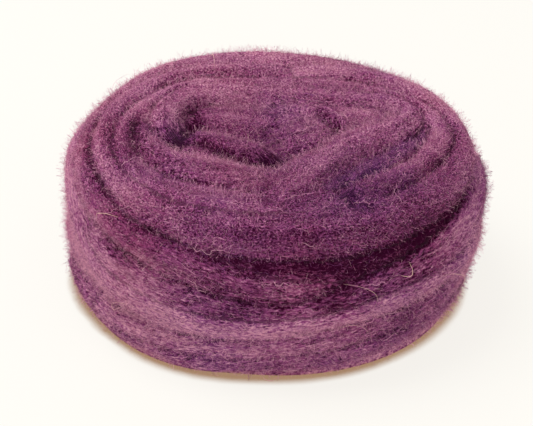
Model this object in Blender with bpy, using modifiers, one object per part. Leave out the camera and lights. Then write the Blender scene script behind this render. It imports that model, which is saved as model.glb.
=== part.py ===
"""A squat nest of carded wool roving: one thick, unspun strand wound round and folded in on itself.

The nest is one solid. A turned body fills its inside, and on it lie the strand's winds, round the
side and the rim, and its folds, across the cap. Each is a soft tube that sinks into the body and its
neighbours. They are fused, smoothed and thinned into one closed skin, which is cut flat to lie on.
Lengths are in millimetres until a mesh is made, and +Y is the far side.
"""

import math
from collections import namedtuple

import bmesh
import bpy
from mathutils import Vector

MM = 0.001

# The nest's outer form, from the middle of its dished cap, over the rim and down to its foot.
Ring = namedtuple("Ring", "reach height")
FORM = (
    Ring(0.0, 48.5),
    Ring(15.0, 49.5),
    Ring(30.0, 52.0),
    Ring(42.0, 53.3),
    Ring(50.0, 52.5),
    Ring(57.0, 49.6),
    Ring(61.6, 44.5),
    Ring(63.7, 37.0),
    Ring(64.2, 28.0),
    Ring(63.6, 18.0),
    Ring(61.5, 8.0),
    Ring(58.0, 2.0),
    Ring(51.5, -2.5),
)

# The body under the strand: how far its skin lies inside the form, and how far its cap lies below.
BODY_INSET = 5.5
CAP_DROP = 10.0
CAP_REACH = 42.0  # how far from the middle the cap's dish ends
BODY_HEM = 5.0    # the height below which the body goes straight down
BODY_FOOT = 4.0   # how far it reaches below the flat base, before that is cut
BODY_STEPS = 64

# A wind runs round the nest. turn: degrees, 0 at +X and -90 at the front. down: distance over the
# form from the middle of the cap. width: the strand's own. proud: how far it stands out of the form.
Wind = namedtuple("Wind", "turn down width proud")
WINDS = {
    "foot": (
        Wind(-185, 109.0, 13, 2.0), Wind(-150, 111.5, 13, 2.8), Wind(-118, 110.5, 14, 2.4),
        Wind(-90, 109.5, 14, -0.8), Wind(-60, 107.5, 15, -1.6), Wind(-30, 106.0, 15, -1.4),
        Wind(0, 106.0, 16, 0.0), Wind(45, 107.5, 15, 0.0), Wind(90, 108.0, 15, 0.4),
        Wind(135, 105.5, 16, 0.0), Wind(180, 104.5, 14, 1.8), Wind(210, 102.5, 13, 2.0),
    ),
    "low": (
        Wind(-165, 103.5, 12, 1.4), Wind(-145, 103.5, 11, 1.3), Wind(-118, 101.5, 10, 0.4),
        Wind(-90, 98.0, 11, -0.5), Wind(-60, 94.5, 12, -1.4), Wind(-36, 93.0, 12, -1.2),
        Wind(-10, 92.5, 13, -0.5), Wind(45, 94.5, 13, -0.5), Wind(90, 95.0, 15, 0.0),
        Wind(135, 91.5, 15, 0.0), Wind(180, 91.0, 15, -0.4), Wind(212, 90.0, 14, -0.6),
    ),
    "middle": (
        Wind(-190, 77.5, 15, -1.4), Wind(-165, 77.0, 15, -1.0), Wind(-145, 80.5, 13, -0.5),
        Wind(-124, 83.0, 12, -0.5), Wind(-98, 85.5, 10, -0.5), Wind(-78, 84.5, 12, 0.0),
        Wind(-58, 81.5, 14, 0.2), Wind(-40, 78.5, 15, 0.6), Wind(-22, 75.0, 14, 0.8),
        Wind(0, 72.5, 14, 0.5), Wind(40, 77.0, 16, 0.2), Wind(75, 80.0, 15, -0.5),
        Wind(110, 81.0, 14, -0.5), Wind(140, 79.0, 15, -0.8), Wind(172, 77.5, 15, -1.4),
    ),
    "crossing": (
        Wind(-330, 88.0, 8, -4.0), Wind(-302, 86.0, 10, -0.3), Wind(-268, 80.5, 10, 0.8),
        Wind(-235, 72.5, 10, 0.3), Wind(-208, 67.5, 10, -0.5), Wind(-182, 66.3, 9, -0.4),
        Wind(-164, 69.5, 10, 0.8), Wind(-153, 78.0, 11, 1.0), Wind(-142, 87.5, 12, 0.8),
        Wind(-122, 91.0, 11, 0.6), Wind(-98, 90.5, 8, 0.8), Wind(-78, 87.6, 7, 1.0),
        Wind(-60, 84.5, 9, 1.2), Wind(-42, 83.3, 9, 1.4), Wind(-25, 83.0, 10, 1.0),
        Wind(-5, 82.5, 10, -1.0), Wind(15, 83.0, 9, -4.0),
    ),
    "shoulder": (
        Wind(-66, 80.5, 6, -3.5), Wind(-84, 79.3, 8, -1.0), Wind(-98, 76.8, 10, -0.3),
        Wind(-115, 72.3, 12, 0.0), Wind(-135, 70.0, 12, 0.0), Wind(-153, 65.5, 11, 0.0),
        Wind(-180, 61.0, 11, -1.3), Wind(-204, 58.5, 11, -0.8), Wind(-226, 58.5, 12, 0.5),
        Wind(-250, 57.5, 13, 0.8), Wind(-275, 57.0, 13, 0.5), Wind(-300, 61.0, 13, 0.3),
        Wind(-330, 65.0, 12, -0.2), Wind(-360, 66.5, 9, -3.0),
    ),
    "under_rim": (
        Wind(-345, 65.5, 10, -2.5), Wind(-372, 66.5, 8, -3.2), Wind(-395, 67.8, 9, -3.2),
        Wind(-410, 70.5, 12, -3.4), Wind(-425, 71.8, 13, -3.4), Wind(-445, 71.0, 11, -3.2),
        Wind(-462, 68.3, 8, -3.2), Wind(-477, 66.5, 5, -3.8),
    ),
    "rim": (
        Wind(64, 44.0, 11, -3.0), Wind(82, 39.5, 11, -0.3), Wind(102, 40.5, 11, 0.0),
        Wind(124, 44.5, 11, 0.0), Wind(149, 48.5, 10, 0.0), Wind(180, 51.5, 10, 0.0),
        Wind(206, 54.5, 11, 0.0), Wind(225, 57.0, 13, 0.3), Wind(245, 58.3, 14, 0.5),
        Wind(277, 59.0, 14, 0.6), Wind(305, 58.3, 14, 0.6), Wind(327, 58.3, 13, 0.5),
        Wind(345, 58.5, 12, 0.3), Wind(370, 56.5, 12, 0.8), Wind(397, 52.5, 12, 1.1),
        Wind(420, 46.0, 13, 0.6), Wind(440, 40.5, 12, 0.2), Wind(458, 39.0, 10, -2.0),
    ),
}

# A fold lies across the cap. x, y: where its middle passes.
Fold = namedtuple("Fold", "x y width proud")
FOLDS = {
    "outer_loop": (
        Fold(15, -45, 10, -3.5), Fold(-1, -47, 14, -0.8), Fold(-15, -46, 13, -0.3), Fold(-28, -41, 11, -0.3),
        Fold(-38, -32, 9, -0.3), Fold(-44, -20, 9, 0.0), Fold(-45, -9, 9, 0.0), Fold(-43, 3, 9, 0.0),
        Fold(-37, 16, 9, -0.3), Fold(-28, 27, 9, -0.6), Fold(-14, 32, 10, -1.0), Fold(6, 33, 10, -1.4),
        Fold(22, 31, 10, -1.2), Fold(36, 24, 10, -0.8), Fold(46, 14, 11, 0.0), Fold(50, 0, 11, 0.3),
        Fold(46, -12, 11, 0.3), Fold(38, -24, 12, 0.3), Fold(29, -34, 13, 0.0), Fold(18, -41, 14, -0.3),
        Fold(5, -46, 14, -0.8), Fold(-6, -48, 10, -3.0),
    ),
    "second_loop": (
        Fold(-41, 6, 6, -3.0), Fold(-40, -5, 8, -0.5), Fold(-37, -15, 11, 0.0), Fold(-30, -23, 15, 0.0),
        Fold(-21, -27, 19, 0.3), Fold(-12, -27, 20, 0.0), Fold(-5, -24, 17, -1.2), Fold(-1, -17, 10, -4.5),
    ),
    "inner_loop": (
        Fold(3, -7, 9, -6.0), Fold(-5, -6, 14, -1.8), Fold(-14, -6, 19, -0.6), Fold(-23, -6, 18, 0.0),
        Fold(-31, -4, 14, 0.5), Fold(-34, 4, 11, 0.8), Fold(-32, 14, 12, 1.0), Fold(-25, 22, 13, 1.0),
        Fold(-13, 25, 13, 0.8), Fold(0, 25, 12, 0.5), Fold(12, 25, 12, 0.3), Fold(24, 22, 11, 0.3),
        Fold(35, 19, 10, 0.5), Fold(41, 12, 11, 0.5), Fold(36, 3, 15, 0.8), Fold(27, -3, 19, 1.2),
        Fold(18, -11, 20, 1.3), Fold(11, -21, 20, 1.2), Fold(6, -32, 20, 0.8), Fold(2, -42, 19, 0.0),
        Fold(-3, -51, 15, -2.5),
    ),
    "left_fill": (
        Fold(-26, 12, 7, -3.0), Fold(-20, 13, 12, -1.0), Fold(-13, 13, 16, -0.4), Fold(-6, 13, 16, -0.4),
        Fold(1, 11, 13, -1.0),
    ),
    "middle_curl": (
        Fold(-4, 13, 9, -3.0), Fold(3, 18, 12, -0.2), Fold(11, 17, 13, 0.5), Fold(16, 12, 13, 0.3),
        Fold(15, 6, 14, -0.4), Fold(8, 3, 14, -1.6), Fold(1, 3, 10, -3.6),
    ),
    "curl_fill": (
        Fold(0, 10, 13, -0.8), Fold(5, 11, 15, 0.0), Fold(9, 9, 14, 0.2),
    ),
    "right_fill": (
        Fold(20, 17, 9, -1.8), Fold(27, 14, 12, -0.6), Fold(31, 10, 11, -1.0), Fold(27, 5, 11, -2.5),
    ),
    "sunk_strand": (
        Fold(46, 8, 6, -3.0), Fold(43, -2, 7, -2.6), Fold(37, -12, 8, -2.4), Fold(29, -21, 9, -2.2),
        Fold(22, -29, 10, -2.4), Fold(15, -37, 9, -2.8), Fold(9, -44, 8, -4.0),
    ),
}

FULLNESS = 0.9      # how much of its width a strand's firm part fills, under the fuzz
STRAND_STEP = 2.5   # between two points of a strand
STRAND_SIDES = 3    # the bevel resolution of its tube
SKIN_CELL = 1.25    # the cell in which the winds fuse
SKIN_SMOOTHING = 0.5
SKIN_SMOOTHINGS = 2
SKIN_KEPT = 0.115   # the share of the fused skin's faces that stay
FLOOR_BLOCK = (300.0, 300.0, 20.0)  # what is cut away below the flat base
CENTRE = (0.442, 0.162)  # the middle of the nest's own box, before it is moved to the origin

WOOL = (0.198, 0.061, 0.125, 1.0)
WOOL_ROUGHNESS = 0.9


def clear_scene():
    for old in list(bpy.data.objects):
        bpy.data.objects.remove(old, do_unlink=True)


def between(rows, place):
    """A smooth row between the rows of a table, at a place counted in rows (a Catmull-Rom curve)."""
    last = len(rows) - 1
    first = min(int(place), last - 1)
    t = place - first
    before, start, end, after = (rows[min(max(first + step, 0), last)] for step in (-1, 0, 1, 2))
    mixed = []
    for a, b, c, d in zip(before, start, end, after):
        bend = 2 * a - 5 * b + 4 * c - d
        twist = 3 * (b - c) + d - a
        mixed.append(b + 0.5 * t * ((c - a) + t * (bend + t * twist)))
    return type(rows[0])(*mixed)


def form_downs():
    """How far each ring of the form is from the middle of the cap, over the form."""
    downs = [0.0]
    for upper, lower in zip(FORM, FORM[1:]):
        downs.append(downs[-1] + math.hypot(lower.reach - upper.reach, lower.height - upper.height))
    return downs


FORM_DOWNS = form_downs()


def form_place(down):
    """The place in FORM, counted in rows, that lies this far over the form."""
    for index, (near, far) in enumerate(zip(FORM_DOWNS, FORM_DOWNS[1:])):
        if down <= far:
            return index + (down - near) / (far - near)
    return float(len(FORM) - 1)


def form_at(down):
    """The form's reach and height there, and its outward slope as a reach and a height."""
    place = form_place(down)
    here = between(FORM, place)
    near = between(FORM, max(place - 0.05, 0.0))
    far = between(FORM, min(place + 0.05, len(FORM) - 1.0))
    run, drop = far.reach - near.reach, near.height - far.height
    length = math.hypot(run, drop)
    return here, (drop / length, run / length)


def cap_height(reach):
    """The height of the cap that far from the middle."""
    place = 0.0
    while between(FORM, place).reach < reach:
        place += 0.02
    return between(FORM, place).height


def wind_point(wind):
    """The middle of the tube and its radius, for one station of a wind."""
    ring, (outward, upward) = form_at(wind.down)
    radius = wind.width * FULLNESS / 2
    sink = radius - wind.proud
    reach = ring.reach - outward * sink
    turn = math.radians(wind.turn)
    height = ring.height - upward * sink
    return Vector((reach * math.cos(turn), reach * math.sin(turn), height)), radius


def fold_point(fold):
    """The middle of the tube and its radius, for one station of a fold."""
    radius = fold.width * FULLNESS / 2
    height = cap_height(math.hypot(fold.x, fold.y)) + fold.proud - radius
    return Vector((fold.x, fold.y, height)), radius


def strand_points(rows, station_point):
    """Even points along a strand, with their radii."""
    fine = [station_point(between(rows, step / 12)) for step in range(12 * (len(rows) - 1) + 1)]
    kept = [fine[0]]
    for point, radius in fine[1:]:
        if (point - kept[-1][0]).length >= STRAND_STEP:
            kept.append((point, radius))
    return kept


def strand_tube(name, points):
    """A strand as a curve with capped ends, its radius given point by point."""
    curve = bpy.data.curves.new(name, "CURVE")
    curve.dimensions = "3D"
    curve.bevel_depth = MM
    curve.bevel_resolution = STRAND_SIDES
    curve.use_fill_caps = True
    spline = curve.splines.new("POLY")
    spline.points.add(len(points) - 1)
    for place, (point, radius) in zip(spline.points, points):
        place.co = (*(point * MM), 1.0)
        place.radius = radius
    tube = bpy.data.objects.new(name, curve)
    bpy.context.scene.collection.objects.link(tube)
    return tube


def body_profile():
    """The body's outline from the middle of its cap to the middle of its foot, as reach and height."""
    outline = [(0.0, FORM[0].height - CAP_DROP)]
    for down in FORM_DOWNS[1:]:
        ring, (outward, upward) = form_at(down)
        middle = max(0.0, 1.0 - ring.reach / CAP_REACH)
        inset = BODY_INSET + (CAP_DROP - BODY_INSET) * middle
        reach, height = ring.reach - outward * inset, ring.height - upward * inset
        if ring.height > BODY_HEM:
            outline.append((reach, height))
    outline.append((outline[-1][0], -BODY_FOOT))
    outline.append((0.0, -BODY_FOOT))
    return outline


def body_core():
    """The wound body under the strand, its outline turned about the nest's upright middle line."""
    mesh = bpy.data.meshes.new("body_core")
    edge = bmesh.new()
    corners = [edge.verts.new((reach * MM, 0.0, height * MM)) for reach, height in body_profile()]
    for upper, lower in zip(corners, corners[1:]):
        edge.edges.new((upper, lower))
    edge.to_mesh(mesh)
    edge.free()
    core = bpy.data.objects.new("body_core", mesh)
    bpy.context.scene.collection.objects.link(core)
    screw = core.modifiers.new("Turned", "SCREW")
    screw.steps = screw.render_steps = BODY_STEPS
    screw.use_merge_vertices = True
    screw.merge_threshold = 0.0001
    return core


def fused(objects):
    """One mesh of all these objects' evaluated shapes, which are then removed."""
    bpy.context.view_layer.update()
    graph = bpy.context.evaluated_depsgraph_get()
    whole = bmesh.new()
    for obj in objects:
        mesh = bpy.data.meshes.new_from_object(obj.evaluated_get(graph))
        mesh.transform(obj.matrix_world)
        whole.from_mesh(mesh)
        bpy.data.meshes.remove(mesh)
        bpy.data.objects.remove(obj, do_unlink=True)
    bmesh.ops.remove_doubles(whole, verts=whole.verts, dist=0.00001)
    mesh = bpy.data.meshes.new("roving_nest")
    whole.to_mesh(mesh)
    whole.free()
    return mesh


def add_skin(nest):
    """Fuses the overlapping tubes into one closed skin, and thins it."""
    remesh = nest.modifiers.new("Fused", "REMESH")
    remesh.mode = "VOXEL"
    remesh.voxel_size = SKIN_CELL * MM
    smooth = nest.modifiers.new("Soft", "SMOOTH")
    smooth.factor = SKIN_SMOOTHING
    smooth.iterations = SKIN_SMOOTHINGS
    thin = nest.modifiers.new("Thinned", "DECIMATE")
    thin.ratio = SKIN_KEPT
    thin.use_collapse_triangulate = True


def add_flat_base(nest, cutters):
    """Cuts the nest flat where it lies."""
    bpy.ops.mesh.primitive_cube_add(size=1.0, location=(0.0, 0.0, -FLOOR_BLOCK[2] * MM / 2))
    block = bpy.context.active_object
    block.name = "floor_cutter"
    block.scale = [side * MM for side in FLOOR_BLOCK]
    block.hide_render = True
    block.display_type = "WIRE"
    for collection in list(block.users_collection):
        collection.objects.unlink(block)
    cutters.objects.link(block)
    cut = nest.modifiers.new("Flat base", "BOOLEAN")
    cut.operation = "DIFFERENCE"
    cut.object = block


def wool_material():
    material = bpy.data.materials.new("plum_wool")
    material.use_nodes = True
    shader = material.node_tree.nodes["Principled BSDF"]
    shader.inputs["Base Color"].default_value = WOOL
    shader.inputs["Roughness"].default_value = WOOL_ROUGHNESS
    shader.inputs["Metallic"].default_value = 0.0
    return material


def main():
    clear_scene()
    parts = bpy.data.collections.new("wool_roving")
    cutters = bpy.data.collections.new("cutters")
    bpy.context.scene.collection.children.link(parts)
    bpy.context.scene.collection.children.link(cutters)
    laid = [body_core()]
    laid += [strand_tube(name, strand_points(rows, wind_point)) for name, rows in WINDS.items()]
    laid += [strand_tube(name, strand_points(rows, fold_point)) for name, rows in FOLDS.items()]
    nest = bpy.data.objects.new("roving_nest", fused(laid))
    parts.objects.link(nest)
    nest.location = (-CENTRE[0] * MM, -CENTRE[1] * MM, 0.0)
    add_skin(nest)
    add_flat_base(nest, cutters)
    nest.data.materials.append(wool_material())


main()
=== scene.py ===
# %% [markdown]
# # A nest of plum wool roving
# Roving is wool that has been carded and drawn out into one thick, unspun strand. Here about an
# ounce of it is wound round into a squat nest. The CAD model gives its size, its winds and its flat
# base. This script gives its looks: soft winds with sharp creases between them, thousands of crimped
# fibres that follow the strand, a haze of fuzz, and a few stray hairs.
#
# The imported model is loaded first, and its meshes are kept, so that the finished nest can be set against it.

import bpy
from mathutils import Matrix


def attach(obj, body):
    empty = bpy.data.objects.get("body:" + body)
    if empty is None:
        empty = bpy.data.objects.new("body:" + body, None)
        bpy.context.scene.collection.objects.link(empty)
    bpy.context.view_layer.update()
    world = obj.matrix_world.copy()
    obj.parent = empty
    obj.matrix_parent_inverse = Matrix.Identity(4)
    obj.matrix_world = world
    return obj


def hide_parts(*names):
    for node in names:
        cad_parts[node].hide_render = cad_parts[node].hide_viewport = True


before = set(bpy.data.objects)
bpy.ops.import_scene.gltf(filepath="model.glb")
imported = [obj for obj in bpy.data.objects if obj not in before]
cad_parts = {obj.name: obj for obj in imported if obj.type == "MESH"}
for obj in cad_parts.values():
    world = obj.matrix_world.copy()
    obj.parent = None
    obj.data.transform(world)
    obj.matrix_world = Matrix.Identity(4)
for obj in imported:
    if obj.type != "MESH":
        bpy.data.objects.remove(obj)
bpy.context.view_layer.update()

# %% [markdown]
# ## Camera
# The nest is seen from the front and about 30 degrees above the table, with a long lens, so it hardly
# narrows towards the back. The camera's three axes are worked out from that rise and a slight roll,
# which is plainer than turning it by hand.

# %% Camera
import math

import bpy
from mathutils import Matrix, Vector

MM = 0.001
CAMERA_RISE = math.radians(29.7)
CAMERA_ROLL = math.radians(1.8)
CAMERA_DISTANCE = 0.5
CAMERA_LENS = 109.4     # in millimetres, and the sensor's width too
CAMERA_SENSOR = 36.0
CAMERA_AIM = Vector((-0.0024, 0.0, 0.0212))


def make_camera():
    back = Vector((0.0, -math.cos(CAMERA_RISE), math.sin(CAMERA_RISE)))
    level_up = Vector((0.0, math.sin(CAMERA_RISE), math.cos(CAMERA_RISE)))
    level_right = Vector((1.0, 0.0, 0.0))
    right = math.cos(CAMERA_ROLL) * level_right + math.sin(CAMERA_ROLL) * level_up
    up = math.cos(CAMERA_ROLL) * level_up - math.sin(CAMERA_ROLL) * level_right
    camera = bpy.data.objects.new("camera", bpy.data.cameras.new("camera"))
    camera.data.lens = CAMERA_LENS
    camera.data.sensor_width = CAMERA_SENSOR
    camera.data.clip_start = 0.01
    turn = Matrix((right, up, back)).transposed().to_4x4()
    camera.matrix_world = Matrix.Translation(CAMERA_AIM + back * CAMERA_DISTANCE) @ turn
    bpy.context.scene.collection.objects.link(camera)
    bpy.context.scene.camera = camera
    return camera


camera = make_camera()
print("camera at", [round(side, 3) for side in camera.matrix_world.translation])

# %% [markdown]
# ## Table and light
# A pale table and light from all round leave almost no shadow, as on a bright light table. The table
# gives out part of its own brightness, which fills the nest from below. An Ambient Occlusion node paints
# a warm contact shadow into its colour, in a thin line where the wool rests on it. A broad lamp above, a
# little to the left, keeps the upper side of each wind brighter than its underside, and a weaker one in front
# opens up the creases.

# %% Table, sky and lamps
TABLE_SIDE = 3.0
TABLE_WHITE = (0.975, 0.955, 0.905, 1.0)
# the colour of the painted contact shadow on the table next to the wool
TABLE_CONTACT_SHADOW = (0.42, 0.26, 0.155, 1.0)
CONTACT_SHADOW_REACH = 5.3 * MM
TABLE_GLOW = 0.85       # the share of the table's brightness that it gives out itself
CONTACT_SHADOW_SAMPLES = 16
CONTACT_SHADOW_RAMP = (0.45, 0.85)
SKY_COLOUR = (1.0, 0.985, 0.97, 1.0)
SKY_STRENGTH = 0.62


def node_tree_of(name):
    """A new material's node tree, holding only its output."""
    material = bpy.data.materials.new(name)
    material.use_nodes = True
    tree = material.node_tree
    tree.nodes.clear()
    return material, tree, tree.nodes.new("ShaderNodeOutputMaterial")


def table_material():
    material, tree, output = node_tree_of("table_white")
    # painted shadow: Ambient Occlusion darkens and warms the table's colour next to the wool
    contact_shadow = tree.nodes.new("ShaderNodeAmbientOcclusion")
    contact_shadow.inputs["Distance"].default_value = CONTACT_SHADOW_REACH
    contact_shadow.samples = CONTACT_SHADOW_SAMPLES
    ramp = tree.nodes.new("ShaderNodeValToRGB")
    for stop, place, colour in zip(ramp.color_ramp.elements, CONTACT_SHADOW_RAMP, (TABLE_CONTACT_SHADOW, TABLE_WHITE)):
        stop.position = place
        stop.color = colour
    matt = tree.nodes.new("ShaderNodeBsdfDiffuse")
    glow = tree.nodes.new("ShaderNodeEmission")
    both = tree.nodes.new("ShaderNodeMixShader")
    both.inputs[0].default_value = TABLE_GLOW
    tree.links.new(contact_shadow.outputs["AO"], ramp.inputs[0])
    tree.links.new(ramp.outputs["Color"], matt.inputs["Color"])
    tree.links.new(ramp.outputs["Color"], glow.inputs["Color"])
    tree.links.new(matt.outputs[0], both.inputs[1])
    tree.links.new(glow.outputs[0], both.inputs[2])
    tree.links.new(both.outputs[0], output.inputs["Surface"])
    return material


def make_table():
    bpy.ops.mesh.primitive_plane_add(size=TABLE_SIDE)
    table = bpy.context.active_object
    table.name = "table"
    table.data.materials.append(table_material())
    return table


def make_sky():
    sky = bpy.data.worlds.new("sky")
    bpy.context.scene.world = sky
    sky.use_nodes = True
    light = sky.node_tree.nodes["Background"]
    light.inputs["Color"].default_value = SKY_COLOUR
    light.inputs["Strength"].default_value = SKY_STRENGTH


def make_lamp(name, place, side, watts):
    """A square lamp that faces the middle of the nest."""
    lamp = bpy.data.objects.new(name, bpy.data.lights.new(name, "AREA"))
    lamp.data.size = side
    lamp.data.energy = watts
    lamp.location = place
    lamp.rotation_euler = (Vector(place) - CAMERA_AIM).to_track_quat("Z", "Y").to_euler()
    bpy.context.scene.collection.objects.link(lamp)


bpy.context.scene.view_settings.view_transform = "Standard"
make_table()
make_sky()
make_lamp("upper_lamp", (-0.45, 0.10, 1.0), 0.7, 8.0)
make_lamp("front_lamp", (0.10, -1.0, 0.7), 0.7, 3.0)
print("sky strength", SKY_STRENGTH, "with two lamps")

# %% [markdown]
# ## The nest's form
# The nest is a squat drum with a dished cap and a rounded rim. Its outline is a short list of rings,
# from the middle of the cap, over the rim and down to the foot. Any place on it is then one number: the
# distance over the form from the middle of the cap. The strand is laid out in those terms below.

# %% The form's rings
from collections import namedtuple

Ring = namedtuple("Ring", "reach height")
FORM = (
    Ring(0.0, 48.5), Ring(15.0, 49.5), Ring(30.0, 52.0), Ring(42.0, 53.3), Ring(50.0, 52.5),
    Ring(57.0, 49.6), Ring(61.6, 44.5), Ring(63.7, 37.0), Ring(64.2, 28.0), Ring(63.6, 18.0),
    Ring(61.5, 8.0), Ring(58.0, 2.0), Ring(51.5, -2.5),
)


def between(rows, place):
    """A smooth row between the rows of a table, at a place counted in rows (a Catmull-Rom curve)."""
    last = len(rows) - 1
    first = min(int(place), last - 1)
    t = place - first
    before, start, end, after = (rows[min(max(first + step, 0), last)] for step in (-1, 0, 1, 2))
    mixed = []
    for a, b, c, d in zip(before, start, end, after):
        bend = 2 * a - 5 * b + 4 * c - d
        twist = 3 * (b - c) + d - a
        mixed.append(b + 0.5 * t * ((c - a) + t * (bend + t * twist)))
    return type(rows[0])(*mixed)


def form_downs():
    """How far each ring of the form is from the middle of the cap, over the form."""
    downs = [0.0]
    for upper, lower in zip(FORM, FORM[1:]):
        downs.append(downs[-1] + math.hypot(lower.reach - upper.reach, lower.height - upper.height))
    return downs


FORM_DOWNS = form_downs()


def form_at(down):
    """The form's reach and height there, and its outward slope as a reach and a height."""
    place = float(len(FORM) - 1)
    for index, (near, far) in enumerate(zip(FORM_DOWNS, FORM_DOWNS[1:])):
        if down <= far:
            place = index + (down - near) / (far - near)
            break
    here = between(FORM, place)
    near = between(FORM, max(place - 0.05, 0.0))
    far = between(FORM, min(place + 0.05, len(FORM) - 1.0))
    run, drop = far.reach - near.reach, near.height - far.height
    length = math.hypot(run, drop)
    return here, (drop / length, run / length)


def cap_height(reach):
    """The height of the cap that far from the middle."""
    place = 0.0
    while between(FORM, place).reach < reach:
        place += 0.02
    return between(FORM, place).height


print("over the form, from the cap's middle to the foot:", round(FORM_DOWNS[-1], 1), "mm")

# %% [markdown]
# ## The strand
# One thick strand goes round the side in bands, over the rim, and then back and forth across the cap.
# Winds are given by their turn round the nest and their distance over the form, and folds by the place
# on the cap where their middle passes. These are the same routes as in the CAD model.

# %% Winds round the side and the rim
Wind = namedtuple("Wind", "turn down width proud")
WINDS = {
    "foot": (
        Wind(-185, 109.0, 13, 2.0), Wind(-150, 111.5, 13, 2.8), Wind(-118, 110.5, 14, 2.4),
        Wind(-90, 109.5, 14, -0.8), Wind(-60, 107.5, 15, -1.6), Wind(-30, 106.0, 15, -1.4),
        Wind(0, 106.0, 16, 0.0), Wind(45, 107.5, 15, 0.0), Wind(90, 108.0, 15, 0.4),
        Wind(135, 105.5, 16, 0.0), Wind(180, 104.5, 14, 1.8), Wind(210, 102.5, 13, 2.0),
    ),
    "low": (
        Wind(-165, 103.5, 12, 1.4), Wind(-145, 103.5, 11, 1.3), Wind(-118, 101.5, 10, 0.4),
        Wind(-90, 98.0, 11, -0.5), Wind(-60, 94.5, 12, -1.4), Wind(-36, 93.0, 12, -1.2),
        Wind(-10, 92.5, 13, -0.5), Wind(45, 94.5, 13, -0.5), Wind(90, 95.0, 15, 0.0),
        Wind(135, 91.5, 15, 0.0), Wind(180, 91.0, 15, -0.4), Wind(212, 90.0, 14, -0.6),
    ),
    "middle": (
        Wind(-190, 77.5, 15, -1.4), Wind(-165, 77.0, 15, -1.0), Wind(-145, 80.5, 13, -0.5),
        Wind(-124, 83.0, 12, -0.5), Wind(-98, 85.5, 10, -0.5), Wind(-78, 84.5, 12, 0.0),
        Wind(-58, 81.5, 14, 0.2), Wind(-40, 78.5, 15, 0.6), Wind(-22, 75.0, 14, 0.8),
        Wind(0, 72.5, 14, 0.5), Wind(40, 77.0, 16, 0.2), Wind(75, 80.0, 15, -0.5),
        Wind(110, 81.0, 14, -0.5), Wind(140, 79.0, 15, -0.8), Wind(172, 77.5, 15, -1.4),
    ),
    "crossing": (
        Wind(-330, 88.0, 8, -4.0), Wind(-302, 86.0, 10, -0.3), Wind(-268, 80.5, 10, 0.8),
        Wind(-235, 72.5, 10, 0.3), Wind(-208, 67.5, 10, -0.5), Wind(-182, 66.3, 9, -0.4),
        Wind(-164, 69.5, 10, 0.8), Wind(-153, 78.0, 11, 1.0), Wind(-142, 87.5, 12, 0.8),
        Wind(-122, 91.0, 11, 0.6), Wind(-98, 90.5, 8, 0.8), Wind(-78, 87.6, 7, 1.0),
        Wind(-60, 84.5, 9, 1.2), Wind(-42, 83.3, 9, 1.4), Wind(-25, 83.0, 10, 1.0),
        Wind(-5, 82.5, 10, -1.0), Wind(15, 83.0, 9, -4.0),
    ),
    "shoulder": (
        Wind(-66, 80.5, 6, -3.5), Wind(-84, 79.3, 8, -1.0), Wind(-98, 76.8, 10, -0.3),
        Wind(-115, 72.3, 12, 0.0), Wind(-135, 70.0, 12, 0.0), Wind(-153, 65.5, 11, 0.0),
        Wind(-180, 61.0, 11, -1.3), Wind(-204, 58.5, 11, -0.8), Wind(-226, 58.5, 12, 0.5),
        Wind(-250, 57.5, 13, 0.8), Wind(-275, 57.0, 13, 0.5), Wind(-300, 61.0, 13, 0.3),
        Wind(-330, 65.0, 12, -0.2), Wind(-360, 66.5, 9, -3.0),
    ),
    "under_rim": (
        Wind(-345, 65.5, 10, -2.5), Wind(-372, 66.5, 8, -3.2), Wind(-395, 67.8, 9, -3.2),
        Wind(-410, 70.5, 12, -3.4), Wind(-425, 71.8, 13, -3.4), Wind(-445, 71.0, 11, -3.2),
        Wind(-462, 68.3, 8, -3.2), Wind(-477, 66.5, 5, -3.8),
    ),
    "rim": (
        Wind(64, 44.0, 11, -3.0), Wind(82, 39.5, 11, -0.3), Wind(102, 40.5, 11, 0.0),
        Wind(124, 44.5, 11, 0.0), Wind(149, 48.5, 10, 0.0), Wind(180, 51.5, 10, 0.0),
        Wind(206, 54.5, 11, 0.0), Wind(225, 57.0, 13, 0.3), Wind(245, 58.3, 14, 0.5),
        Wind(277, 59.0, 14, 0.6), Wind(305, 58.3, 14, 0.6), Wind(327, 58.3, 13, 0.5),
        Wind(345, 58.5, 12, 0.3), Wind(370, 56.5, 12, 0.8), Wind(397, 52.5, 12, 1.1),
        Wind(420, 46.0, 13, 0.6), Wind(440, 40.5, 12, 0.2), Wind(458, 39.0, 10, -2.0),
    ),
}

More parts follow.
